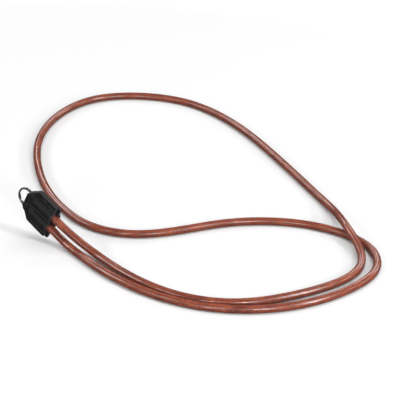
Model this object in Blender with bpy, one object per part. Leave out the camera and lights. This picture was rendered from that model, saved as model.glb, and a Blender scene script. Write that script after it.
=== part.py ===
"""Round leather cord strap with a sewn leather tab and a split ring.

One round cord makes a neck-length loop. Both of its ends run into two moulded
sleeves between the front and back leathers of a six-sided tab, and a small
split ring is trapped in the narrow neck of the tab.

The origin is the inside top of the ring, where a lug or hook holds it. +Z is
up, +X points along the tab towards the cord, and +Y is the tab's back. The
loop lies on a level surface HOOK_HEIGHT below the origin.
"""
import math

import bmesh
import bpy
import numpy as np
from mathutils import Matrix, Vector

MM = 0.001

# Cord
CORD_DIAMETER = 5.5 * MM
CORD_FIT = 0.3 * MM            # free space round the cord inside its sleeve
CORD_RESOLUTION = 2            # roundness of the tube, which gives it eight sides
CORD_SAMPLES = 2               # tube points for each span of the route
STRAIGHT_OUT = 6.0 * MM        # straight run past the front leather's edge

# Tab
TAB_WIDTH = 29.4 * MM
TAB_LENGTH = 28.0 * MM
TAB_STRAIGHT = 20.0 * MM       # length of the full-width part, from the cord end
NECK_WIDTH = 11.2 * MM
CORNER_RADIUS = 1.6 * MM
LEATHER = 1.4 * MM
FRONT_SETBACK = 2.3 * MM       # the front leather stops this far short of the back one
SEAM_GAP = 0.3 * MM            # between the two leathers where they are sewn
TAB_DIP = math.radians(29.0)   # slope of the tab below the horizontal

# Sleeves
SLEEVE_PITCH = 9.6 * MM        # between the two cord ends
SLEEVE_LENGTH = 17.6 * MM      # from the back leather's edge to the inner end
SLEEVE_SLOPE = math.radians(50.0)   # how steeply the leather comes down beside the cord

# Split ring
RING_BORE = 11.9 * MM
RING_WIRE_WIDTH = 1.3 * MM     # across the ring's radius
RING_WIRE_THICKNESS = 0.75 * MM
RING_COIL_PITCH = 0.9 * MM     # from one turn of the wire to the next
RING_JOG = math.radians(60.0)  # the stretch where the wire steps to its other turn
RING_SPLIT_AT = math.radians(215.0)
RING_STANDOFF = 0.2 * MM       # centre of the ring, outside the neck's edge
RING_FIT = 0.3 * MM            # free space above and below the ring in its pocket
POCKET_HUB = 3.6 * MM          # radius where the leathers are joined through the ring
POCKET_BLEND = 1.7 * MM
POCKET_SPREAD = 0.35           # how much wider the outer face's bulge is, for each cover

# Place
HOOK_HEIGHT = 34.0 * MM        # the origin above the surface that the loop lies on

# Mesh fineness of a leather
COLUMNS = 36
ROWS_STRAIGHT = 16
ROWS_TAPER = 11
SHARP_ANGLE = math.radians(50.0)
RING_STEP = math.radians(10.0)

# Route of the loop on the surface, in millimetres: x, y, and the lift above
# lying flat. Chosen by hand, from the upper sleeve round to the lower one.
ROUTE = [
    (45.0, 0.6, 6.6), (60.0, 0.3, 1.7), (85.0, -5.1, 0.0), (118.0, -10.1, 0.0),
    (150.0, -7.1, 0.0), (178.0, 7.4, 0.0), (197.0, 31.0, 0.0), (210.5, 60.0, 0.0),
    (214.9, 85.7, 0.0), (207.2, 107.5, 0.8), (179.5, 130.4, 6.1), (154.5, 152.3, 2.1),
    (124.0, 172.1, 0.0), (59.5, 208.6, 0.0), (-9.5, 240.0, 0.0), (-53.0, 247.0, 0.0),
    (-93.0, 234.0, 0.0), (-118.0, 206.0, 0.0), (-120.5, 171.0, 0.0), (-103.0, 125.5, 0.0),
    (-68.0, 84.0, 0.0), (-28.0, 53.0, 0.0), (5.0, 37.0, 0.0), (33.0, 31.5, 0.0),
    (60.0, 39.0, 0.0), (80.0, 59.0, 0.0), (101.0, 91.5, 0.0), (134.0, 120.0, 0.0),
    (176.0, 130.5, 0.0), (206.0, 122.0, 0.0), (223.2, 100.2, 0.0), (224.5, 67.0, 0.0),
    (208.6, 26.2, 0.0), (172.3, -6.3, 0.0), (118.0, -18.0, 0.0), (70.0, -11.0, 0.0),
    (46.5, -3.9, 0.1), (36.0, -1.2, 1.4),
]

# Worked out from the sizes above
CORD_RADIUS = CORD_DIAMETER / 2
RING_BORE_RADIUS = RING_BORE / 2
RING_OUTER_RADIUS = RING_BORE_RADIUS + RING_WIRE_WIDTH
RING_HALF_DEPTH = (RING_COIL_PITCH + RING_WIRE_THICKNESS) / 2
RING_X = -(TAB_LENGTH + RING_STANDOFF)   # centre of the ring along the tab
CORD_INNER_END = -(SLEEVE_LENGTH - CORD_FIT)
FLOOR_Z = -HOOK_HEIGHT


def clear_scene():
    """Remove every object of the scene."""
    for old in list(bpy.data.objects):
        bpy.data.objects.remove(old, do_unlink=True)


def make_material(name, colour, roughness, metallic=0.0):
    """A plain Principled material."""
    material = bpy.data.materials.new(name)
    material.use_nodes = True
    shader = material.node_tree.nodes["Principled BSDF"]
    shader.inputs["Base Color"].default_value = (*colour, 1.0)
    shader.inputs["Roughness"].default_value = roughness
    shader.inputs["Metallic"].default_value = metallic
    return material


def add_object(name, data, collection, material, parent=None):
    """Put new data into the part's collection, under a parent empty if there is one."""
    made = bpy.data.objects.new(name, data)
    collection.objects.link(made)
    data.materials.append(material)
    made.parent = parent
    return made


def smooth_step(value):
    """0 below 0, 1 above 1 and an easy curve between."""
    value = min(max(value, 0.0), 1.0)
    return value * value * (3.0 - 2.0 * value)


def tab_frame_matrix():
    """The tab's own frame: origin mid-way along its cord end, +X out along the cords."""
    turn = Matrix.Rotation(TAB_DIP, 4, "Y")
    ring_centre = Vector((0.0, 0.0, -RING_BORE_RADIUS))
    place = ring_centre - turn @ Vector((RING_X, 0.0, 0.0))
    return Matrix.Translation(place) @ turn


def half_width(x):
    """Half the tab's width at a place along it."""
    taper = (-x - TAB_STRAIGHT) / (TAB_LENGTH - TAB_STRAIGHT)
    taper = min(max(taper, 0.0), 1.0)
    return TAB_WIDTH / 2 + taper * (NECK_WIDTH - TAB_WIDTH) / 2


def corner_round(z):
    """How far the cord end draws back at a place across the tab, for its round corners."""
    into = abs(z) - (TAB_WIDTH / 2 - CORNER_RADIUS)
    if into <= 0.0:
        return 0.0
    into = min(into, CORNER_RADIUS)
    return CORNER_RADIUS - math.sqrt(CORNER_RADIUS ** 2 - into ** 2)


def sleeve_height(x, z, cover):
    """Height over the nearer cord end of a face that lies cover outside the sleeve's bore."""
    radius = CORD_RADIUS + CORD_FIT + cover
    past_end = max(-SLEEVE_LENGTH - x, 0.0)
    away = math.hypot(abs(z) - SLEEVE_PITCH / 2, past_end)
    knee = radius * math.sin(SLEEVE_SLOPE)
    if away < knee:
        return math.sqrt(radius ** 2 - away ** 2)
    return radius * math.cos(SLEEVE_SLOPE) - (away - knee) * math.tan(SLEEVE_SLOPE)


def pocket_height(x, z, cover):
    """Height over the trapped part of the ring of a face that lies cover outside its pocket."""
    away = math.hypot(x - RING_X, z)
    spread = cover * POCKET_SPREAD
    rise = smooth_step((away - POCKET_HUB + spread) / POCKET_BLEND)
    fall = smooth_step((away - RING_OUTER_RADIUS - RING_FIT - spread) / POCKET_BLEND)
    hollow = RING_HALF_DEPTH + RING_FIT - SEAM_GAP / 2
    return SEAM_GAP / 2 + cover + hollow * rise * (1.0 - fall)


def face_height(x, z, cover):
    """Height above the middle of the tab of a leather's inner (cover 0) or outer face."""
    return max(sleeve_height(x, z, cover), pocket_height(x, z, cover))


def leather_rows(setback):
    """Places along the tab of the rows of a leather's mesh, from the cord end."""
    rows = []
    for step in range(ROWS_STRAIGHT):
        rows.append(-setback + (setback - TAB_STRAIGHT) * step / ROWS_STRAIGHT)
    for step in range(ROWS_TAPER + 1):
        rows.append(-TAB_STRAIGHT + (TAB_STRAIGHT - TAB_LENGTH) * step / ROWS_TAPER)
    return rows


def build_leather(name, side, setback, collection, material, frame):
    """One moulded leather of the tab. side is -1 for the front and 1 for the back."""
    rows = leather_rows(setback)
    shape = bmesh.new()
    bmesh.ops.create_grid(shape, x_segments=len(rows) - 1, y_segments=COLUMNS, size=0.5)
    for vertex in shape.verts:
        row = round((vertex.co.x + 0.5) * (len(rows) - 1))
        z = 2.0 * vertex.co.y * half_width(rows[row])
        share = row / (len(rows) - 1)
        x = rows[row] - corner_round(z) * (1.0 - share)
        vertex.co = Vector((x, side * face_height(x, z, 0.0), z))
    raised = bmesh.ops.extrude_face_region(shape, geom=shape.faces, use_keep_orig=True)
    for vertex in raised["geom"]:
        if isinstance(vertex, bmesh.types.BMVert):
            vertex.co.y = side * face_height(vertex.co.x, vertex.co.z, LEATHER)
    bmesh.ops.recalc_face_normals(shape, faces=shape.faces)
    mesh = bpy.data.meshes.new(name)
    shape.to_mesh(mesh)
    shape.free()
    mesh.shade_smooth()
    mesh.set_sharp_from_angle(angle=SHARP_ANGLE)
    return add_object(name, mesh, collection, material, frame)


def build_ring(collection, material, frame):
    """Split ring: flat wire wound nearly twice round, stepping from one turn to the other."""
    turn_angle = 2.0 * math.pi - RING_JOG
    shape = bmesh.new()
    section = bmesh.ops.create_grid(shape, x_segments=1, y_segments=1, size=0.5)
    middle = RING_BORE_RADIUS + RING_WIRE_WIDTH / 2
    for vertex in section["verts"]:
        radial = middle + vertex.co.x * RING_WIRE_WIDTH
        axial = vertex.co.y * RING_WIRE_THICKNESS - RING_COIL_PITCH / 2
        vertex.co = Vector((radial, axial, 0.0))
    axis = Vector((0.0, 1.0, 0.0))
    swept = list(shape.faces) + list(shape.edges) + list(shape.verts)
    for angle, rise in ((turn_angle, 0.0), (RING_JOG, RING_COIL_PITCH), (turn_angle, 0.0)):
        steps = round(angle / RING_STEP)
        result = bmesh.ops.spin(
            shape, geom=swept, cent=(0.0, 0.0, 0.0), axis=axis,
            dvec=axis * (rise / steps), angle=angle, steps=steps)
        swept = result["geom_last"]
    bmesh.ops.holes_fill(shape, edges=shape.edges)
    bmesh.ops.recalc_face_normals(shape, faces=shape.faces)
    bmesh.ops.rotate(shape, cent=(0.0, 0.0, 0.0), verts=shape.verts,
                     matrix=Matrix.Rotation(RING_SPLIT_AT, 3, "Y"))
    bmesh.ops.translate(shape, vec=(RING_X, 0.0, 0.0), verts=shape.verts)
    mesh = bpy.data.meshes.new("split_ring")
    shape.to_mesh(mesh)
    shape.free()
    return add_object("split_ring", mesh, collection, material, frame)


def spline_tangents(points, start_tangent, end_tangent):
    """Tangents of the smooth curve through the points, by equal curvature at each one."""
    spans = np.linalg.norm(np.diff(points, axis=0), axis=1)
    count = len(points)
    weights = np.zeros((count, count))
    wanted = np.zeros((count, 3))
    weights[0, 0] = weights[-1, -1] = 1.0
    wanted[0], wanted[-1] = start_tangent, end_tangent
    for i in range(1, count - 1):
        before, after = spans[i - 1], spans[i]
        weights[i, i - 1:i + 2] = after, 2.0 * (before + after), before
        wanted[i] = 3.0 * (after * (points[i] - points[i - 1]) / before
                           + before * (points[i + 1] - points[i]) / after)
    return spans, np.linalg.solve(weights, wanted)


def smooth_curve(points, start_tangent, end_tangent, samples):
    """Points read from a smooth curve through the route's own points."""
    points = np.array([tuple(point) for point in points])
    spans, tangents = spline_tangents(points, start_tangent, end_tangent)
    read = []
    for i, span in enumerate(spans):
        for step in range(samples):
            t = step / samples
            near, far = points[i], points[i + 1]
            read.append((2 * t ** 3 - 3 * t ** 2 + 1) * near
                        + (3 * t ** 2 - 2 * t ** 3) * far
                        + (t ** 3 - 2 * t ** 2 + t) * span * tangents[i]
                        + (t ** 3 - t ** 2) * span * tangents[i + 1])
    read.append(points[-1])
    return [Vector(point) for point in read]


def cord_path(frame_matrix):
    """The cord's centre line: out of the upper sleeve, round the loop, into the lower one."""
    along = frame_matrix.to_3x3() @ Vector((1.0, 0.0, 0.0))
    upper, lower = SLEEVE_PITCH / 2, -SLEEVE_PITCH / 2
    out_x = STRAIGHT_OUT - FRONT_SETBACK
    lying = FLOOR_Z + CORD_RADIUS
    loop = [Vector((x * MM, y * MM, lying + lift * MM)) for x, y, lift in ROUTE]
    first = frame_matrix @ Vector((out_x, 0.0, upper))
    last = frame_matrix @ Vector((out_x, 0.0, lower))
    path = smooth_curve([first, *loop, last], along, -along, CORD_SAMPLES)
    for point in path:
        point.z = max(point.z, lying)
    start = frame_matrix @ Vector((CORD_INNER_END, 0.0, upper))
    end = frame_matrix @ Vector((CORD_INNER_END, 0.0, lower))
    return [start, *path, end]


def build_cord(collection, material, frame_matrix):
    """The round leather cord, as a tube along its route."""
    path = cord_path(frame_matrix)
    curve = bpy.data.curves.new("cord", "CURVE")
    curve.dimensions = "3D"
    curve.bevel_depth = CORD_RADIUS
    curve.bevel_resolution = CORD_RESOLUTION
    curve.use_fill_caps = True
    spline = curve.splines.new("POLY")
    spline.points.add(len(path) - 1)
    for target, point in zip(spline.points, path):
        target.co = (*point, 1.0)
    return add_object("cord", curve, collection, material)


def build():
    """Model the whole strap."""
    clear_scene()
    collection = bpy.data.collections.new("cord_strap")
    bpy.context.scene.collection.children.link(collection)
    red_brown = make_material("cord_leather", (0.23, 0.06, 0.03), 0.42)
    black = make_material("tab_leather", (0.017, 0.017, 0.019), 0.6)
    steel = make_material("ring_steel", (0.42, 0.40, 0.37), 0.32, metallic=1.0)

    frame = bpy.data.objects.new("tab_frame", None)
    collection.objects.link(frame)
    frame.matrix_world = tab_frame_matrix()

    build_leather("tab_front", -1.0, FRONT_SETBACK, collection, black, frame)
    build_leather("tab_back", 1.0, 0.0, collection, black, frame)
    build_ring(collection, steel, frame)
    build_cord(collection, red_brown, tab_frame_matrix())


build()
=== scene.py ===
"""Dresses a round leather neck cord, its stitched leather tab and its split ring.

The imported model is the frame. The cord is remade as a fine tube on the same
route, the tab's two leathers as moulded sheets with rounded cut edges and three
rows of stitching, and the ring as wound flat wire with softened edges.
"""
import logging
import math
from dataclasses import dataclass
from enum import Enum

import bmesh
import bpy
import numpy as np
from mathutils import Matrix, Vector, noise


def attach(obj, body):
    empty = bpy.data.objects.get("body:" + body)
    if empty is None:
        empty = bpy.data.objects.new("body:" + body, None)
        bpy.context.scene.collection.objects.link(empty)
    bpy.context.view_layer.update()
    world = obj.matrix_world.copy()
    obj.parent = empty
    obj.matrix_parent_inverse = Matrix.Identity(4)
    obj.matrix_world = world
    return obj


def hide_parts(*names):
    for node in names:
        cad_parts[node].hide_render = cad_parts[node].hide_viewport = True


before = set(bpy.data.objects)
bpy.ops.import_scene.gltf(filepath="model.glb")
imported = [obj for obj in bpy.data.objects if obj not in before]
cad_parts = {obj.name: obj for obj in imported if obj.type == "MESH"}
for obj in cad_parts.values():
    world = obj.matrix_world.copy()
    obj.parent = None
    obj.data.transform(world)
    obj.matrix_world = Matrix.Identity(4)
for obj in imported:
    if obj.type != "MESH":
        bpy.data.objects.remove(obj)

Triple = tuple[float, float, float]
Colour = Place = Triple
Span = tuple[float, float]
Socket = bpy.types.NodeSocket
Value = Socket | float | tuple[float, ...]

MM = 0.001
FLOOR_LEVEL = -34.0 * MM
SLEEVE_PITCH = 9.6 * MM
WHITE = (1.0, 1.0, 1.0, 1.0)
CUT_EDGE = "cut_edge"
LOG = logging.getLogger("neck_cord")

# Route of the loop on the surface, in millimetres: x, y, and the lift above
# lying flat. Listed from the upper sleeve round to the lower one.
ROUTE: list[Place] = [
    (45.0, 0.6, 6.6), (60.0, 0.3, 1.7), (85.0, -5.1, 0.0), (118.0, -10.1, 0.0),
    (150.0, -7.1, 0.0), (178.0, 7.4, 0.0), (197.0, 31.0, 0.0), (210.5, 60.0, 0.0),
    (214.9, 85.7, 0.0), (207.2, 107.5, 0.8), (179.5, 130.4, 6.1),
    (154.5, 152.3, 2.1), (124.0, 172.1, 0.0), (59.5, 208.6, 0.0),
    (-9.5, 240.0, 0.0), (-53.0, 247.0, 0.0), (-93.0, 234.0, 0.0),
    (-118.0, 206.0, 0.0), (-120.5, 171.0, 0.0), (-103.0, 125.5, 0.0),
    (-68.0, 84.0, 0.0), (-28.0, 53.0, 0.0), (5.0, 37.0, 0.0), (33.0, 31.5, 0.0),
    (60.0, 39.0, 0.0), (80.0, 59.0, 0.0), (101.0, 91.5, 0.0), (134.0, 120.0, 0.0),
    (176.0, 130.5, 0.0), (206.0, 122.0, 0.0), (223.2, 100.2, 0.0),
    (224.5, 67.0, 0.0), (208.6, 26.2, 0.0), (172.3, -6.3, 0.0),
    (118.0, -18.0, 0.0), (70.0, -11.0, 0.0), (46.5, -3.9, 0.1), (36.0, -1.2, 1.4),
]


class Side(Enum):
    """A face of the tab, by the sign of its direction in the tab's own frame."""

    FRONT = -1.0
    BACK = 1.0


class Coordinates(Enum):
    """Where a finish reads its pattern from."""

    OBJECT = "Object"
    ALONG_CORD = "along_cord"


def smooth_step(value: float) -> float:
    """Return 0 below 0, 1 above 1 and an easy curve between."""
    value = min(max(value, 0.0), 1.0)
    return value * value * (3.0 - 2.0 * value)


def soft_max(first: float, second: float, blend: float) -> float:
    """Return the larger of two heights, rounded over blend where they cross."""
    return 0.5 * (first + second + math.hypot(first - second, blend))


def round_off(inside: float, radius: float) -> float:
    """Return how far a round corner draws back, at inside metres from its side."""
    into = min(max(radius - inside, 0.0), radius)
    return radius - math.sqrt(radius ** 2 - into ** 2)


def smooth_span(near: np.ndarray, far: np.ndarray, leaving: np.ndarray,
                arriving: np.ndarray, share: float) -> np.ndarray:
    """Return a point of the cubic curve that has these ends and end tangents."""
    square, cube = share ** 2, share ** 3
    return ((2 * cube - 3 * square + 1) * near + (3 * square - 2 * cube) * far
            + (cube - 2 * square + share) * leaving + (cube - square) * arriving)


def clear_selection() -> None:
    """Leave edit mode and deselect every object."""
    if bpy.context.mode != "OBJECT":
        bpy.ops.object.mode_set(mode="OBJECT")
    bpy.ops.object.select_all(action="DESELECT")


def take_active(name: str) -> bpy.types.Object:
    """Name the object that an operator has just added, and its mesh.

    Args:
        name: The name for both.

    Returns:
        The object.
    """
    made = bpy.context.active_object
    made.name = name
    made.data.name = name
    return made


def add_piece(name: str, mesh: bpy.types.Mesh,
              finish: bpy.types.Material) -> bpy.types.Object:
    """Put a finished mesh into the scene as an object at the origin.

    Args:
        name: The piece's name.
        mesh: Its mesh.
        finish: Its material.

    Returns:
        The piece.
    """
    piece = bpy.data.objects.new(name, mesh)
    bpy.context.scene.collection.objects.link(piece)
    piece.data.materials.append(finish)
    return piece


def finish_piece(piece: bpy.types.Object, node: str) -> bpy.types.Object:
    """Tie a finished piece to the frame and report it.

    Args:
        piece: The finished object.
        node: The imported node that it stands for, or an empty text for none.

    Returns:
        The same object.
    """
    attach(piece, "root")
    if node:
        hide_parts(node)
    LOG.info("%s: %d faces", piece.name, len(piece.data.polygons))
    return piece


class NodeSheet:
    """A material's node tree, with short calls that add nodes and join them."""

    def __init__(self, name: str) -> None:
        """Start a material that holds a Principled shader alone.

        Args:
            name: The material's name.
        """
        self.material = bpy.data.materials.new(name)
        self.material.use_nodes = True
        self.tree = self.material.node_tree
        self.shader = self.tree.nodes["Principled BSDF"]

    def add(self, kind: str, inputs: dict[str | int, Value],
            **settings: str) -> Socket:
        """Add a node.

        Args:
            kind: The node's type name without its ShaderNode start.
            inputs: Values or sockets, by input name or number.
            **settings: The node's own settings.

        Returns:
            The node's first output.
        """
        node = self.tree.nodes.new("ShaderNode" + kind)
        for setting, value in settings.items():
            setattr(node, setting, value)
        for key, value in inputs.items():
            self.put(node.inputs[key], value)
        return node.outputs[0]

    def put(self, socket: Socket, value: Value) -> None:
        """Set a socket to a value, or join another socket to it.

        Args:
            socket: The socket that is set.
            value: The value or the other socket.
        """
        if isinstance(value, Socket):
            self.tree.links.new(value, socket)
        else:
            socket.default_value = value

    def surface(self, **inputs: Value) -> None:
        """Set the shader's inputs.

        Args:
            **inputs: Values or sockets, by input name with underscores.
        """
        for name, value in inputs.items():
            title = name.replace("_", " ").title().replace("Ior", "IOR")
            self.put(self.shader.inputs[title], value)

    def place(self, source: Coordinates, stretch: Place = (1.0, 1.0, 1.0)) -> Socket:
        """Add the coordinates that a pattern reads, in metres.

        Args:
            source: Where they come from.
            stretch: How many times closer the pattern is along each axis.

        Returns:
            The socket of the coordinates.
        """
        if source is Coordinates.OBJECT:
            node = self.tree.nodes.new("ShaderNodeTexCoord")
            found = node.outputs[source.value]
        else:
            node = self.tree.nodes.new("ShaderNodeAttribute")
            node.attribute_name = source.value
            found = node.outputs["Vector"]
        return self.add("Mapping", {"Vector": found, "Scale": stretch})

    def share(self, attribute: str) -> Socket:
        """Return the socket of an attribute that is one number at each vertex."""
        return self.add("Attribute", {}, attribute_name=attribute).node.outputs["Fac"]

    def grain(self, place: Socket, size: float, detail: float = 3.0,
              roughness: float = 0.55) -> Socket:
        """Return soft noise whose blotches are about size metres wide."""
        return self.add("TexNoise", {
            "Vector": place, "Scale": 1.0 / size,
            "Detail": detail, "Roughness": roughness,
        })

    def cells(self, place: Socket, size: float, feature: str) -> Socket:
        """Return a cell pattern whose cells are about size metres wide."""
        inputs = {"Vector": place, "Scale": 1.0 / size}
        return self.add("TexVoronoi", inputs, feature=feature)

    def ramp(self, value: Socket, span: Span, to: Span = (0.0, 1.0)) -> Socket:
        """Return a value that is read over one span and spread over another."""
        return self.add("MapRange", {
            "Value": value, "From Min": span[0], "From Max": span[1],
            "To Min": to[0], "To Max": to[1],
        })

    def combine(self, operation: str, first: Socket, second: Socket) -> Socket:
        """Return the result of a Math node with two inputs."""
        return self.add("Math", {0: first, 1: second}, operation=operation)

    def mix(self, share: Socket, first: Value, second: Value) -> Socket:
        """Mix two colours.

        Args:
            share: How much of the second colour shows, from 0 to 1.
            first: The first colour.
            second: The second colour.

        Returns:
            The socket of the mixed colour.
        """
        node = self.tree.nodes.new("ShaderNodeMix")
        node.data_type = "RGBA"
        for key, value in (("Factor", share), ("A", first), ("B", second)):
            kind = "VALUE" if key == "Factor" else "RGBA"
            socket = next(s for s in node.inputs
                          if s.name == key and s.enabled and s.type == kind)
            self.put(socket, (*value, 1.0) if isinstance(value, tuple) else value)
        return next(s for s in node.outputs if s.type == "RGBA")

    def bump(self, layers: list[tuple[Socket, float]]) -> Socket:
        """Bump the surface by several height patterns.

        Args:
            layers: Each pattern with its depth in metres, coarsest first.

        Returns:
            The socket of the bumped normal.
        """
        normal = None
        for height, depth in layers:
            inputs = {"Height": height, "Distance": depth, "Strength": 1.0}
            if normal is not None:
                inputs["Normal"] = normal
            normal = self.add("Bump", inputs)
        return normal


@dataclass(frozen=True)
class CordLeather:
    """Oiled red-brown round leather with a fine crackled grain.

    A span is the part of a pattern's values over which a change takes place.
    """

    dark: Colour = (0.070, 0.013, 0.008)
    middle: Colour = (0.185, 0.036, 0.017)
    warm: Colour = (0.38, 0.098, 0.043)
    crack: Colour = (0.075, 0.016, 0.010)
    speck: float = 1.0 * MM
    speck_detail: float = 4.0
    speck_roughness: float = 0.68
    dark_span: Span = (0.38, 0.50)
    warm_span: Span = (0.51, 0.63)
    blotch: float = 14.0 * MM
    blotch_span: Span = (0.35, 0.65)
    blotch_shift: Span = (-0.035, 0.035)
    cell: float = 0.85 * MM
    crack_span: Span = (0.0, 0.10)
    crack_share: Span = (0.5, 0.0)
    gloss_span: Span = (0.38, 0.62)
    roughness: Span = (0.34, 0.17)
    specular: float = 1.0
    cell_span: Span = (0.0, 0.30)
    cell_depth: float = 0.018 * MM
    grain_depth: float = 0.065 * MM

    def material(self) -> bpy.types.Material:
        """Build the finish from patterns that follow the cord.

        Returns:
            The material.
        """
        sheet = NodeSheet("cord_leather")
        place = sheet.place(Coordinates.ALONG_CORD)
        specks = sheet.grain(
            place, self.speck, self.speck_detail, self.speck_roughness)
        blotches = sheet.grain(place, self.blotch, 2.0)
        cells = sheet.cells(place, self.cell, "DISTANCE_TO_EDGE")
        shift = sheet.ramp(blotches, self.blotch_span, self.blotch_shift)
        tone = sheet.combine("ADD", specks, shift)
        colour = sheet.mix(sheet.ramp(tone, self.dark_span), self.dark, self.middle)
        colour = sheet.mix(sheet.ramp(tone, self.warm_span), colour, self.warm)
        in_crack = sheet.ramp(cells, self.crack_span, self.crack_share)
        sheet.surface(
            base_color=sheet.mix(in_crack, colour, self.crack),
            roughness=sheet.ramp(specks, self.gloss_span, self.roughness),
            specular_ior_level=self.specular,
            normal=sheet.bump([
                (sheet.ramp(cells, self.cell_span), self.cell_depth),
                (sheet.grain(place, self.speck, 1.0), self.grain_depth),
            ]),
        )
        return sheet.material


@dataclass(frozen=True)
class TabLeather:
    """Matte black leather with a pebbled face, inked cut edges and a patchy pale grey
    band along their top rims.

    The attribute cut_edge of a leather rises to 1 at its cut edges. The spans
    pale_rim_span and wall_span are read from it, the others from patterns.
    """

    black: Colour = (0.0072, 0.0070, 0.0079)
    worn: Colour = (0.0170, 0.0164, 0.0177)
    # Pale grey painted in a band along the rounded rim of each face.
    pale_rim: Colour = (0.095, 0.095, 0.100)
    cut: Colour = (0.020, 0.020, 0.022)
    pebble: float = 0.55 * MM
    pebble_cell: float = 0.715 * MM
    crease: float = 6.0 * MM
    worn_span: Span = (0.4, 0.75)
    worn_share: Span = (0.0, 0.8)
    patch_span: Span = (0.25, 0.6)
    patch_share: Span = (0.45, 1.0)
    pale_rim_span: Span = (0.15, 0.60)
    wall_span: Span = (0.80, 0.97)
    gloss_span: Span = (0.3, 0.7)
    roughness: Span = (0.66, 0.52)
    specular: float = 0.22
    crease_depth: float = 0.22 * MM
    pebble_depth: float = 0.05 * MM
    grain_depth: float = 0.06 * MM

    def material(self) -> bpy.types.Material:
        """Build the finish.

        Returns:
            The material.
        """
        sheet = NodeSheet("tab_leather")
        place = sheet.place(Coordinates.OBJECT)
        fine = sheet.grain(place, self.pebble, 4.0)
        creases = sheet.grain(place, self.crease)
        pebbles = sheet.cells(place, self.pebble_cell, "F1")
        edge = sheet.share(CUT_EDGE)
        worn = sheet.ramp(creases, self.worn_span, self.worn_share)
        face = sheet.mix(worn, self.black, self.worn)
        patchy = sheet.ramp(fine, self.patch_span, self.patch_share)
        # Paint a patchy pale grey band on the rounded rim of each face, next to its cut
        # edge.
        corner = sheet.combine(
            "MULTIPLY", sheet.ramp(edge, self.pale_rim_span), patchy)
        face = sheet.mix(corner, face, self.pale_rim)
        wall = sheet.ramp(edge, self.wall_span)
        sheet.surface(
            base_color=sheet.mix(wall, face, self.cut),
            roughness=sheet.ramp(fine, self.gloss_span, self.roughness),
            specular_ior_level=self.specular,
            normal=sheet.bump([
                (creases, self.crease_depth),
                (pebbles, self.pebble_depth),
                (fine, self.grain_depth),
            ]),
        )
        return sheet.material


@dataclass(frozen=True)
class SpringSteel:
    """Polished spring steel with handling scratches."""

    bright: Colour = (0.42, 0.40, 0.375)
    dull: Colour = (0.20, 0.185, 0.17)
    wear: float = 1.6 * MM
    wear_span: Span = (0.35, 0.7)
    scratch: float = 0.5 * MM
    scratch_stretch: Place = (1.0, 9.0, 1.0)
    scratch_span: Span = (0.3, 0.7)
    scratch_depth: float = 0.008 * MM
    roughness: Span = (0.2, 0.38)

    def material(self) -> bpy.types.Material:
        """Build the finish.

        Returns:
            The material.
        """
        sheet = NodeSheet("ring_steel")
        place = sheet.place(Coordinates.OBJECT)
        wear = sheet.ramp(sheet.grain(place, self.wear, 4.0), self.wear_span)
        along = sheet.place(Coordinates.OBJECT, self.scratch_stretch)
        scratches = sheet.grain(along, self.scratch, 5.0)
        sheet.surface(
            base_color=sheet.mix(wear, self.bright, self.dull),
            metallic=1.0,
            roughness=sheet.ramp(scratches, self.scratch_span, self.roughness),
            normal=sheet.bump([(scratches, self.scratch_depth)]),
        )
        return sheet.material


@dataclass(frozen=True)
class WaxedThread:
    """Black waxed sewing thread."""

    black: Colour = (0.012, 0.012, 0.013)
    lint: Colour = (0.05, 0.048, 0.046)
    lint_size: float = 0.5 * MM
    lint_span: Span = (0.5, 0.8)
    strand: float = 0.14 * MM
    strand_stretch: Place = (1.0, 1.0, 0.4)
    strand_depth: float = 0.04 * MM
    roughness: float = 0.45
    sheen: float = 0.15

    def material(self) -> bpy.types.Material:
        """Build the finish.

        Returns:
            The material.
        """
        sheet = NodeSheet("waxed_thread")
        along = sheet.place(Coordinates.OBJECT, self.strand_stretch)
        strands = sheet.grain(along, self.strand, 2.0)
        linty = sheet.grain(sheet.place(Coordinates.OBJECT), self.lint_size)
        sheet.surface(
            base_color=sheet.mix(
                sheet.ramp(linty, self.lint_span), self.black, self.lint),
            roughness=self.roughness,
            sheen_weight=self.sheen,
            normal=sheet.bump([(strands, self.strand_depth)]),
        )
        return sheet.material


@dataclass(frozen=True)
class PaleBackdrop:
    """Evenly lit white backdrop."""

    glow: float = 1.0

    def material(self) -> bpy.types.Material:
        """Build the finish.

        Returns:
            The material.
        """
        sheet = NodeSheet("pale_backdrop")
        sheet.surface(
            base_color=(0.0, 0.0, 0.0, 1.0),
            specular_ior_level=0.0,
            emission_color=WHITE,
            emission_strength=self.glow,
        )
        return sheet.material


@dataclass(frozen=True)
class PaleFloor:
    """Plain pale studio floor that runs into the backdrop past its lit middle."""

    colour: Colour = (0.66, 0.66, 0.662)
    patch: float = 400.0 * MM
    patch_span: Span = (0.3, 0.7)
    roughness: Span = (0.75, 0.85)
    specular: float = 0.2
    reach: float = 1.2
    glow_span: Span = (0.08, 0.62)
    glow: Span = (0.7, 0.0)

    def material(self) -> bpy.types.Material:
        """Build the finish, which glows towards reach metres from the middle.

        Returns:
            The material.
        """
        sheet = NodeSheet("pale_floor")
        patches = sheet.grain(sheet.place(Coordinates.OBJECT), self.patch, 2.0)
        spread = sheet.place(Coordinates.OBJECT, (1.0 / self.reach,) * 3)
        nearness = sheet.add(
            "TexGradient", {"Vector": spread}, gradient_type="SPHERICAL")
        sheet.surface(
            base_color=(*self.colour, 1.0),
            roughness=sheet.ramp(patches, self.patch_span, self.roughness),
            specular_ior_level=self.specular,
            emission_color=WHITE,
            emission_strength=sheet.ramp(nearness, self.glow_span, self.glow),
        )
        return sheet.material


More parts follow.
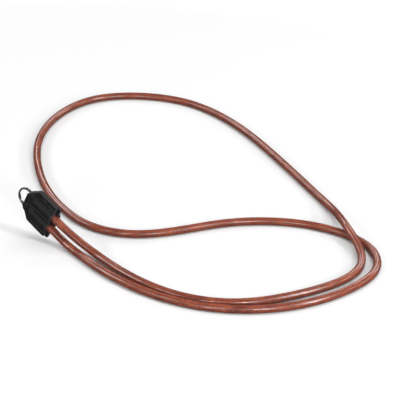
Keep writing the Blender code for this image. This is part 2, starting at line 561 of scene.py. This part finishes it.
def tube_mesh(name: str, line: np.ndarray, radius: float, sides: int) -> bpy.types.Mesh:
    """Build a closed tube along a line, with straightened coordinates in along_cord.

    Args:
        name: The mesh's name.
        line: The tube's centre line, one point to a row.
        radius: The tube's radius in metres.
        sides: How many faces go round it.

    Returns:
        The tube as a mesh.
    """
    heading = np.gradient(line, axis=0)
    heading /= np.linalg.norm(heading, axis=1)[:, None]
    steps = np.linalg.norm(np.diff(line, axis=0), axis=1)
    distance = np.concatenate([[0.0], np.cumsum(steps)])
    tube = bmesh.new()
    layer = tube.verts.layers.float_vector.new(Coordinates.ALONG_CORD.value)
    side = np.cross(heading[0], (0.0, 0.0, 1.0))
    rings = []
    for centre, ahead, run in zip(line, heading, distance):
        side = side - ahead * np.dot(side, ahead)
        side /= np.linalg.norm(side)
        up = np.cross(side, ahead)
        ring = []
        for turn in np.linspace(0.0, 2.0 * math.pi, sides, endpoint=False):
            across, high = radius * math.cos(turn), radius * math.sin(turn)
            vertex = tube.verts.new(centre + across * side + high * up)
            vertex[layer] = (run, across, high)
            ring.append(vertex)
        rings.append(ring)
    for near, far in zip(rings, rings[1:]):
        for i in range(sides):
            j = (i + 1) % sides
            tube.faces.new((near[i], near[j], far[j], far[i]))
    tube.faces.new(rings[0])
    tube.faces.new(rings[-1])
    bmesh.ops.recalc_face_normals(tube, faces=tube.faces)
    mesh = bpy.data.meshes.new(name)
    tube.to_mesh(mesh)
    tube.free()
    mesh.shade_smooth()
    return mesh


@dataclass
class RoundCord:
    """The leather cord: its route, its fine tube and its finish."""

    diameter: float = 5.5 * MM
    straight_out: float = 3.7 * MM
    inner_end: float = -17.3 * MM
    pitch: float = SLEEVE_PITCH
    step: float = 1.5 * MM
    fewest_steps: int = 4
    sleeve_points: int = 15
    sides: int = 28
    finish: CordLeather = CordLeather()

    @property
    def lying(self) -> float:
        """Return the height of the cord's centre where it lies flat."""
        return FLOOR_LEVEL + self.diameter / 2

    def sleeve_point(self, tab: Matrix, along: float, side: float) -> Vector:
        """Return a point on the axis of the upper sleeve, side 1, or the lower, -1."""
        return tab @ Vector((along, 0.0, side * self.pitch / 2))

    def typed_points(self, tab: Matrix) -> list[Vector]:
        """Read the route in metres, with the straight bits out of the sleeves.

        Args:
            tab: The tab's own frame.

        Returns:
            The points from the upper sleeve's mouth round to the lower one's.
        """
        loop = [Vector((x * MM, y * MM, self.lying + lift * MM))
                for x, y, lift in ROUTE]
        first = self.sleeve_point(tab, self.straight_out, 1.0)
        last = self.sleeve_point(tab, self.straight_out, -1.0)
        return [first, *loop, last]

    def tangents(self, points: np.ndarray,
                 along: np.ndarray) -> tuple[np.ndarray, np.ndarray]:
        """Work out the smooth curve's tangents, by equal curvature at each point.

        Args:
            points: The typed points, one to a row.
            along: The direction in which the cord leaves its sleeve.

        Returns:
            The lengths of the spans, and the tangent at each point.
        """
        spans = np.linalg.norm(np.diff(points, axis=0), axis=1)
        count = len(points)
        weights, wanted = np.zeros((count, count)), np.zeros((count, 3))
        weights[0, 0] = weights[-1, -1] = 1.0
        wanted[0], wanted[-1] = along, -along
        for i in range(1, count - 1):
            before, after = spans[i - 1], spans[i]
            weights[i, i - 1:i + 2] = after, 2.0 * (before + after), before
            wanted[i] = 3.0 * (after * (points[i] - points[i - 1]) / before
                               + before * (points[i + 1] - points[i]) / after)
        return spans, np.linalg.solve(weights, wanted)

    def centre_line(self, tab: Matrix) -> np.ndarray:
        """Work out the cord's centre line from end to end.

        Args:
            tab: The tab's own frame.

        Returns:
            Points about a step apart, one to a row.
        """
        points = np.array([tuple(point) for point in self.typed_points(tab)])
        along = np.array(tab.to_3x3() @ Vector((1.0, 0.0, 0.0)))
        spans, tangents = self.tangents(points, along)
        start = np.array(self.sleeve_point(tab, self.inner_end, 1.0))
        end = np.array(self.sleeve_point(tab, self.inner_end, -1.0))
        read = list(np.linspace(start, points[0], self.sleeve_points)[:-1])
        for i, span in enumerate(spans):
            steps = max(self.fewest_steps, round(span / self.step))
            for share in np.linspace(0.0, 1.0, steps, endpoint=False):
                read.append(smooth_span(points[i], points[i + 1], span * tangents[i],
                                        span * tangents[i + 1], share))
        read += list(np.linspace(points[-1], end, self.sleeve_points))
        line = np.array(read)
        line[:, 2] = np.maximum(line[:, 2], self.lying)
        return line

    def build(self, tab: Matrix) -> bpy.types.Object:
        """Build the cord's tube.

        Args:
            tab: The tab's own frame.

        Returns:
            The finished cord.
        """
        line = self.centre_line(tab)
        mesh = tube_mesh("leather_cord", line, self.diameter / 2, self.sides)
        cord = add_piece("leather_cord", mesh, self.finish.material())
        finish_piece(cord, "cord")
        return cord


@dataclass
class SplitRing:
    """A split ring of flat wire, wound nearly twice round.

    jog is the angle over which the wire steps from one turn to the other, and
    standoff is how far the ring's centre lies past the end of the tab.
    """

    bore: float = 11.9 * MM
    wire_width: float = 1.3 * MM
    wire_thickness: float = 0.75 * MM
    coil_pitch: float = 0.9 * MM
    edge_radius: float = 0.2 * MM
    edge_steps: int = 3
    jog: float = math.radians(60.0)
    split_at: float = math.radians(215.0)
    step: float = math.radians(3.0)
    sharp_angle: float = math.radians(40.0)
    standoff: float = 0.2 * MM
    finish: SpringSteel = SpringSteel()

    @property
    def outer_radius(self) -> float:
        """Return the ring's outer radius."""
        return self.bore / 2 + self.wire_width

    @property
    def half_depth(self) -> float:
        """Return half of the ring's depth over both turns."""
        return (self.coil_pitch + self.wire_thickness) / 2

    def wire_section(self) -> bpy.types.Object:
        """Model the wire's rounded section as a face at the start of the first turn.

        Returns:
            The section, which becomes the ring.
        """
        clear_selection()
        bpy.ops.mesh.primitive_plane_add(size=1.0)
        ring = take_active("wound_ring")
        ring.scale = (self.wire_width, self.wire_thickness, 1.0)
        bpy.ops.object.transform_apply(location=False, rotation=False, scale=True)
        bpy.ops.object.mode_set(mode="EDIT")
        bpy.ops.mesh.select_all(action="SELECT")
        bpy.ops.mesh.bevel(
            offset=self.edge_radius, segments=self.edge_steps, affect="VERTICES")
        across = (self.bore + self.wire_width) / 2
        centre = Vector((across, -self.coil_pitch / 2, 0.0))
        bpy.ops.transform.translate(value=centre)
        bpy.ops.object.mode_set(mode="OBJECT")
        return ring

    def wind(self, ring: bpy.types.Object) -> None:
        """Sweep the section round: a turn, the step to the other turn, and that turn.

        Args:
            ring: The object that holds the section.
        """
        turn = 2.0 * math.pi - self.jog
        coil = bmesh.new()
        coil.from_mesh(ring.data)
        axis = Vector((0.0, 1.0, 0.0))
        swept = [*coil.faces, *coil.edges, *coil.verts]
        for angle, rise in ((turn, 0.0), (self.jog, self.coil_pitch), (turn, 0.0)):
            steps = round(angle / self.step)
            result = bmesh.ops.spin(
                coil, geom=swept, cent=(0.0, 0.0, 0.0), axis=axis,
                dvec=axis * (rise / steps), angle=angle, steps=steps)
            swept = result["geom_last"]
        bmesh.ops.holes_fill(coil, edges=coil.edges)
        bmesh.ops.recalc_face_normals(coil, faces=coil.faces)
        coil.to_mesh(ring.data)
        coil.free()

    def build(self, tab: Matrix, tab_length: float) -> bpy.types.Object:
        """Build the ring in the tab's neck.

        Args:
            tab: The tab's own frame.
            tab_length: The tab's length, whose end holds the ring.

        Returns:
            The finished ring.
        """
        ring = self.wire_section()
        self.wind(ring)
        along = Vector((-(tab_length + self.standoff), 0.0, 0.0))
        ring.data.transform(tab @ Matrix.Translation(along)
                            @ Matrix.Rotation(self.split_at, 4, "Y"))
        clear_selection()
        ring.select_set(True)
        bpy.ops.object.shade_smooth_by_angle(angle=self.sharp_angle)
        ring.data.materials.append(self.finish.material())
        return finish_piece(ring, "split_ring")


@dataclass(frozen=True)
class TabShape:
    """The tab's outline and moulded relief, in its own frame.

    x runs out along the cords from the back leather's edge, y goes through the
    leathers and z across them. The cover of a face is how much leather lies
    under it: none for an inner face, the whole leather for an outer one.
    """

    width: float = 29.4 * MM
    length: float = 28.0 * MM
    straight: float = 20.0 * MM
    neck: float = 11.2 * MM
    corner: float = 1.6 * MM
    neck_corner: float = 1.0 * MM
    shoulder_blend: float = 0.8 * MM
    leather: float = 1.55 * MM
    seam_gap: float = 0.06 * MM
    dip: float = math.radians(29.0)
    sleeve_bore: float = 2.82 * MM
    sleeve_length: float = 17.6 * MM
    sleeve_slope: float = math.radians(62.0)
    foot_blend: float = 0.45 * MM
    pocket_hub: float = 3.6 * MM
    pocket_blend: float = 1.7 * MM
    pocket_ease: float = 0.7
    pocket_spread: float = 0.35
    ring_fit: float = 0.12 * MM

    def frame(self, ring: SplitRing) -> Matrix:
        """Work out the tab's own frame, hung from the inside top of the ring.

        Args:
            ring: The split ring in the tab's neck.

        Returns:
            The frame.
        """
        turn = Matrix.Rotation(self.dip, 4, "Y")
        centre = Vector((0.0, 0.0, -ring.bore / 2))
        return Matrix.Translation(centre - turn @ self.ring_centre(ring)) @ turn

    def ring_centre(self, ring: SplitRing) -> Vector:
        """Return the ring's centre in the tab's frame."""
        return Vector((-(self.length + ring.standoff), 0.0, 0.0))

    def half_width(self, x: float) -> float:
        """Measure half of the tab's width at a place, with eased shoulders.

        Args:
            x: The place along the tab.

        Returns:
            Half of the width in metres.
        """
        taper = (-x - self.straight) / (self.length - self.straight)
        line = self.width / 2 + taper * (self.neck - self.width) / 2
        return -soft_max(-self.width / 2, -line, self.shoulder_blend)

    def sleeve_height(self, x: float, z: float, cover: float) -> float:
        """Measure a face's height over the nearer cord: round, then a sloping side.

        Args:
            x: The place along the tab.
            z: The place across the tab.
            cover: The leather under the face.

        Returns:
            The height above the middle of the tab, below 0 away from the sleeve.
        """
        radius = self.sleeve_bore + cover
        past_end = max(-self.sleeve_length - x, 0.0)
        away = math.hypot(abs(z) - SLEEVE_PITCH / 2, past_end)
        knee = radius * math.sin(self.sleeve_slope)
        if away < knee:
            return math.sqrt(radius ** 2 - away ** 2)
        drop = (away - knee) * math.tan(self.sleeve_slope)
        return radius * math.cos(self.sleeve_slope) - drop

    def pocket_height(self, x: float, z: float, cover: float, ring: SplitRing) -> float:
        """Measure a face's height over the trapped half of the ring.

        Args:
            x: The place along the tab.
            z: The place across the tab.
            cover: The leather under the face.
            ring: The split ring.

        Returns:
            The height above the middle of the tab.
        """
        away = math.hypot(x - self.ring_centre(ring).x, z)
        spread = cover * self.pocket_spread
        blend = self.pocket_blend + self.pocket_ease * cover
        rise = smooth_step((away - self.pocket_hub + spread) / blend)
        past_ring = away - ring.outer_radius - self.ring_fit - spread
        fall = smooth_step(past_ring / blend)
        hollow = ring.half_depth + self.ring_fit - self.seam_gap / 2
        return self.seam_gap / 2 + cover + hollow * rise * (1.0 - fall)

    def height(self, x: float, z: float, cover: float, ring: SplitRing) -> float:
        """Return a face's height above the middle of the tab."""
        return soft_max(self.sleeve_height(x, z, cover),
                        self.pocket_height(x, z, cover, ring),
                        self.foot_blend * min(cover / self.leather, 1.0))


@dataclass(frozen=True)
class SeamRows:
    """The three rows of hand stitching, in the tab's own frame.

    Past reach from a row nothing is pressed in. tail is how far a stitch's ends
    go below its holes, end_room how far short of the holes' middles they stay,
    and thread_seat how far the thread's middle lies over its groove.
    """

    across: tuple[float, ...] = (11.5 * MM, 0.0, -11.5 * MM)
    first_hole: tuple[float, ...] = (-3.6 * MM, -4.5 * MM, -3.6 * MM)
    hole_pitch: tuple[float, ...] = (3.25 * MM, 3.5 * MM, 3.25 * MM)
    holes: tuple[int, ...] = (5, 6, 5)
    hole_radius: float = 0.42 * MM
    hole_depth: float = 0.38 * MM
    reach: float = 1.68 * MM
    groove_width: float = 0.546 * MM
    groove_depth: float = 0.10 * MM
    thread: float = 0.26 * MM
    thread_sides: int = 8
    thread_seat: float = 0.091 * MM
    tail: float = 0.35 * MM
    end_room: float = 0.105 * MM
    stitch_points: int = 11
    stitch_rise: float = 0.16 * MM
    slant: float = math.radians(6.0)
    finish: WaxedThread = WaxedThread()

    def row_holes(self, row: int) -> list[float]:
        """Return the places along the tab of a row's holes."""
        start, pitch = self.first_hole[row], self.hole_pitch[row]
        return [start - pitch * i for i in range(self.holes[row])]

    def sunk(self, x: float, z: float) -> float:
        """Measure how deep the thread and its holes press the leather in.

        Args:
            x: The place along the tab.
            z: The place across the tab.

        Returns:
            The depth in metres.
        """
        deepest = 0.0
        for row, across in enumerate(self.across):
            if abs(z - across) > self.reach:
                continue
            holes = self.row_holes(row)
            if holes[-1] - self.hole_radius < x < holes[0] + self.hole_radius:
                line = math.exp(-((z - across) / self.groove_width) ** 2)
                deepest = max(deepest, self.groove_depth * line)
            near = min(math.hypot(x - hole, z - across) for hole in holes)
            hole = self.hole_depth * math.exp(-(near / self.hole_radius) ** 2)
            deepest = max(deepest, hole)
        return deepest

    def stitch_line(self, near: float, far: float) -> np.ndarray:
        """Work out one stitch's centre line, from hole to hole, about its own middle.

        The stitch is arched, and its two ends dive steeply into their holes.

        Args:
            near: Place of the first hole along the row.
            far: Place of the second hole.

        Returns:
            The line's points, with x along the row and y out of the leather.
        """
        shares = np.linspace(-1.0, 1.0, self.stitch_points)
        half = abs(far - near) / 2 - self.end_room
        rise = self.stitch_rise * (1.0 - shares ** 2)
        rise -= (self.hole_depth + self.tail) * shares ** 8
        return np.stack([shares * half, rise, np.zeros_like(shares)], axis=1)


@dataclass
class StitchedTab:
    """The two moulded leathers of the tab and the thread that joins them.

    Each leather is a grid of rows along the tab and columns across it. The lines
    next to an edge are edge_steps millimetres from it, so that it can be rounded.
    """

    shape: TabShape = TabShape()
    seams: SeamRows = SeamRows()
    front_setback: float = 2.3 * MM
    edge_round: float = 0.38 * MM
    inner_round: float = 0.15 * MM
    cut_band: float = 0.55 * MM
    columns: int = 112
    rows: int = 104
    edge_steps: tuple[float, ...] = (0.0, 0.04, 0.10, 0.18, 0.28, 0.42)
    ripple: float = 0.07 * MM
    ripple_length: float = 6.0 * MM
    sharp_angle: float = math.radians(60.0)
    finish: TabLeather = TabLeather()

    def spread(self, index: int, count: int, low: float, high: float) -> float:
        """Place a grid line, with the lines crowded at both ends.

        Args:
            index: The line's number, from 0.
            count: How many lines there are.
            low: Place of the first line.
            high: Place of the last line.

        Returns:
            The line's place between low and high.
        """
        extra = len(self.edge_steps)
        sign = 1.0 if high > low else -1.0
        if index < extra:
            return low + sign * self.edge_steps[index] * MM
        if index >= count - extra:
            return high - sign * self.edge_steps[count - 1 - index] * MM
        inner = sign * self.edge_steps[-1] * MM
        share = (index - extra + 1) / (count - 2 * extra + 1)
        return low + inner + (high - low - 2.0 * inner) * share

    def grid_place(self, row: int, column: int, setback: float) -> Triple:
        """Place a grid vertex on the tab, with round corners at both ends.

        The cord end draws back over the first third of the rows, the neck over
        the last ninth.

        Args:
            row: The vertex's row.
            column: The vertex's column.
            setback: How much shorter this leather is at the cord end.

        Returns:
            Its x and z, and how far it lies inside the outline.
        """
        shape = self.shape
        x = self.spread(row, self.rows, -setback, -shape.length)
        half = shape.half_width(x)
        z = self.spread(column, self.columns, -half, half)
        rim = min(half - abs(z), -setback - x, x + shape.length)
        share = row / (self.rows - 1)
        end, neck = max(0.0, 1.0 - share * 3.0), max(0.0, share * 9.0 - 8.0)
        x -= end * round_off(shape.width / 2 - abs(z), shape.corner)
        x += neck * round_off(half - abs(z), shape.neck_corner)
        return x, z, rim

    def face_place(self, spot: Triple, side: Side, cover: float,
                   ring: SplitRing) -> Vector:
        """Place a vertex of a leather's inner or outer face, in the tab's frame.

        Args:
            spot: Its x and z, and how far it lies inside the outline.
            side: The leather's side of the tab.
            cover: The leather under the face, which is 0 for the inner face.
            ring: The split ring.

        Returns:
            The vertex's place.
        """
        x, z, rim = spot
        height = self.shape.height(x, z, cover, ring)
        if cover > 0.0:
            height -= round_off(rim, self.edge_round) + self.seams.sunk(x, z)
            ripple = Vector((x, z, 0.0)) / self.ripple_length
            ripple.z = side.value * 3.0
            height += self.ripple * noise.noise(ripple)
        else:
            height += round_off(rim, self.inner_round)
        return Vector((x, side.value * height, z))

    def leather(self, name: str, side: Side, setback: float,
                ring: SplitRing) -> bpy.types.Object:
        """Model one leather: a grid draped over the cords, extruded into its wall.

        Args:
            name: The piece's name.
            side: Its side of the tab.
            setback: How much shorter it is at the cord end.
            ring: The split ring.

        Returns:
            The leather in the tab's frame.
        """
        clear_selection()
        bpy.ops.mesh.primitive_grid_add(
            x_subdivisions=self.rows - 1, y_subdivisions=self.columns - 1, size=1.0)
        sheet = take_active(name)
        sheet.data.attributes.new(CUT_EDGE, "FLOAT", "POINT")
        bpy.ops.object.mode_set(mode="EDIT")
        bpy.ops.mesh.select_all(action="SELECT")
        bpy.ops.mesh.extrude_region_move(
            TRANSFORM_OT_translate={"value": (0.0, 0.0, 1.0)})
        bpy.ops.object.mode_set(mode="OBJECT")
        cut_edge = sheet.data.attributes[CUT_EDGE]
        # The grid is 1 wide about the origin, and its outer face is 1 up.
        for index, vertex in enumerate(sheet.data.vertices):
            outer = vertex.co.z > 0.5
            row = round((vertex.co.x + 0.5) * (self.rows - 1))
            column = round((vertex.co.y + 0.5) * (self.columns - 1))
            cover = self.shape.leather if outer else 0.0
            spot = self.grid_place(row, column, setback)
            vertex.co = self.face_place(spot, side, cover, ring)
            cut_edge.data[index].value = 1.0 - smooth_step(spot[2] / self.cut_band)
        return sheet

    def dress(self, sheet: bpy.types.Object, tab: Matrix, node: str,
              material: bpy.types.Material) -> bpy.types.Object:
        """Turn a leather's normals out, put it in its place and give it its finish.

        Args:
            sheet: The leather in the tab's frame.
            tab: The tab's own frame.
            node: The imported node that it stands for.
            material: The leather's finish.

        Returns:
            The finished leather.
        """
        clear_selection()
        bpy.context.view_layer.objects.active = sheet
        sheet.select_set(True)
        bpy.ops.object.mode_set(mode="EDIT")
        bpy.ops.mesh.select_all(action="SELECT")
        bpy.ops.mesh.normals_make_consistent(inside=False)
        bpy.ops.object.mode_set(mode="OBJECT")
        sheet.data.transform(tab)
        bpy.ops.object.shade_smooth_by_angle(angle=self.sharp_angle)
        sheet.data.materials.append(material)
        return finish_piece(sheet, node)

    def thread_row(self, name: str, side: Side, tab: Matrix, ring: SplitRing,
                   material: bpy.types.Material) -> bpy.types.Object:
        """Sew one face of the tab: every stitch of its three rows, as one piece.

        Args:
            name: The piece's name.
            side: The face of the tab.
            tab: The tab's own frame.
            ring: The split ring, which the relief depends on.
            material: The thread's finish.

        Returns:
            The finished thread.
        """
        seams, stitches = self.seams, bmesh.new()
        turn = Matrix.Rotation(seams.slant * side.value, 4, "Y")
        flip = Matrix.Scale(side.value, 4, (0, 1, 0))
        for row, across in enumerate(seams.across):
            holes = seams.row_holes(row)
            for near, far in zip(holes, holes[1:]):
                line = seams.stitch_line(near, far)
                mesh = tube_mesh("stitch", line, seams.thread, seams.thread_sides)
                middle = (near + far) / 2
                face = self.shape.height(middle, across, self.shape.leather, ring)
                seat = face - seams.groove_depth + seams.thread_seat
                place = Matrix.Translation((middle, side.value * seat, across))
                mesh.transform(tab @ place @ turn @ flip)
                stitches.from_mesh(mesh)
                bpy.data.meshes.remove(mesh)
        bmesh.ops.recalc_face_normals(stitches, faces=stitches.faces)
        mesh = bpy.data.meshes.new(name)
        stitches.to_mesh(mesh)
        stitches.free()
        mesh.shade_smooth()
        return finish_piece(add_piece(name, mesh, material), "")

    def build(self, tab: Matrix, ring: SplitRing) -> list[bpy.types.Object]:
        """Build both leathers and the thread on both faces.

        Args:
            tab: The tab's own frame.
            ring: The split ring in the tab's neck.

        Returns:
            The finished pieces.
        """
        material, thread = self.finish.material(), self.seams.finish.material()
        front = self.leather("front_leather", Side.FRONT, self.front_setback, ring)
        back = self.leather("back_leather", Side.BACK, 0.0, ring)
        return [
            self.dress(front, tab, "tab_front", material),
            self.dress(back, tab, "tab_back", material),
            self.thread_row("front_thread", Side.FRONT, tab, ring, thread),
            self.thread_row("back_thread", Side.BACK, tab, ring, thread),
        ]


@dataclass(frozen=True)
class SoftBox:
    """A square studio light, which glossy surfaces mirror if it glints."""

    name: str
    place: Place
    aim: Place
    size: float
    power: float
    glints: bool = True

    def build(self) -> bpy.types.Object:
        """Hang the light and point it at its aim.

        Returns:
            The light.
        """
        lamp = bpy.data.lights.new(self.name, "AREA")
        lamp.shape = "SQUARE"
        lamp.size = self.size
        lamp.energy = self.power
        box = bpy.data.objects.new(self.name, lamp)
        bpy.context.scene.collection.objects.link(box)
        box.visible_glossy = self.glints
        box.location = self.place
        towards = Vector(self.aim) - Vector(self.place)
        box.rotation_euler = towards.to_track_quat("-Z", "Y").to_euler()
        return box


@dataclass
class Studio:
    """The camera, the floor, the backdrop and the light.

    A ring of low soft boxes streaks the cord. Each is given by its direction and
    its height in degrees, seen from the middle of the strap, and its watts. The
    floor and the top box don't glint, because white would veil the leather.
    """

    camera_place: Place = (0.7827, -0.8069, 0.5370)
    camera_pitch: float = 64.0
    camera_turn: float = 38.0
    lens: float = 161.646
    nearest: float = 0.01
    floor_size: float = 8.0
    dome_radius: float = 8.0 / 2.2
    dome_segments: int = 64
    dome_rings: int = 32
    sky: float = 0.1
    middle: Place = (0.03, 0.10, -0.03)
    ring_distance: float = 1.35
    ring_box_size: float = 0.14
    ring_boxes: tuple[Triple, ...] = (
        (0.0, 18.0, 5.2), (2.0, 36.0, 4.5), (36.0, 22.0, 1.6), (72.0, 20.0, 2.2),
        (108.0, 33.0, 1.8), (144.0, 28.0, 1.7), (180.0, 28.0, 2.4),
        (216.0, 26.0, 3.3), (252.0, 24.0, 2.0), (288.0, 18.0, 3.2),
        (324.0, 18.0, 5.2),
    )
    top_box: SoftBox = SoftBox(
        "top_box", (0.25, 0.3, 2.3), (0.05, 0.1, 0.0), 2.6, 56.0, glints=False)

    def add_camera(self) -> None:
        """Set up the camera at the photographed angle."""
        data = bpy.data.cameras.new("photo_camera")
        data.lens = self.lens
        data.clip_start = self.nearest
        camera = bpy.data.objects.new("photo_camera", data)
        camera.location = self.camera_place
        camera.rotation_euler = (math.radians(self.camera_pitch), 0.0,
                                 math.radians(self.camera_turn))
        bpy.context.scene.collection.objects.link(camera)
        bpy.context.scene.camera = camera

    def add_floor(self) -> None:
        """Lay the pale floor."""
        clear_selection()
        bpy.ops.mesh.primitive_plane_add(size=self.floor_size)
        floor = take_active("studio_floor")
        floor.data.transform(Matrix.Translation((0.0, 0.0, FLOOR_LEVEL)))
        floor.data.materials.append(PaleFloor().material())
        floor.visible_glossy = False

    def add_backdrop(self) -> None:
        """Put a white dome round the studio, which is seen but lights nothing."""
        clear_selection()
        bpy.ops.mesh.primitive_uv_sphere_add(
            segments=self.dome_segments, ring_count=self.dome_rings,
            radius=self.dome_radius, location=(0.0, 0.0, FLOOR_LEVEL))
        bpy.ops.object.transform_apply(location=True)
        dome = take_active("studio_backdrop")
        dome.data.materials.append(PaleBackdrop().material())
        dome.visible_diffuse = False
        dome.visible_glossy = False
        dome.visible_transmission = False
        dome.visible_shadow = False

    def ring_box(self, turn: float, lift: float, power: float) -> SoftBox:
        """Make one of the low soft boxes that stand round the strap.

        Args:
            turn: Its direction round the strap in degrees.
            lift: Its height over the floor in degrees.
            power: Its power in watts.

        Returns:
            The soft box.
        """
        around, up = math.radians(turn), math.radians(lift)
        way = Vector((math.cos(up) * math.cos(around),
                      math.cos(up) * math.sin(around), math.sin(up)))
        place = Vector(self.middle) + self.ring_distance * way
        return SoftBox(f"ring_box_{turn:.0f}_{lift:.0f}", tuple(place), self.middle,
                       self.ring_box_size, power)

    def add_light(self) -> None:
        """Light the scene with a pale sky and the soft boxes."""
        world = bpy.data.worlds.new("studio_sky")
        world.use_nodes = True
        background = world.node_tree.nodes["Background"]
        background.inputs["Color"].default_value = WHITE
        background.inputs["Strength"].default_value = self.sky
        bpy.context.scene.world = world
        self.top_box.build()
        for turn, lift, power in self.ring_boxes:
            self.ring_box(turn, lift, power).build()

    def build(self) -> None:
        """Build the studio."""
        self.add_camera()
        self.add_floor()
        self.add_backdrop()
        self.add_light()
        bpy.context.scene.view_settings.view_transform = "Standard"


def main() -> None:
    """Build the studio and every piece of the strap."""
    logging.basicConfig(level=logging.INFO, format="%(name)s: %(message)s")
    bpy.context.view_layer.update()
    Studio().build()
    ring, tab = SplitRing(), StitchedTab()
    place = tab.shape.frame(ring)
    RoundCord().build(place)
    ring.build(place, tab.shape.length)
    tab.build(place, ring)


if __name__ == "__main__":
    main()
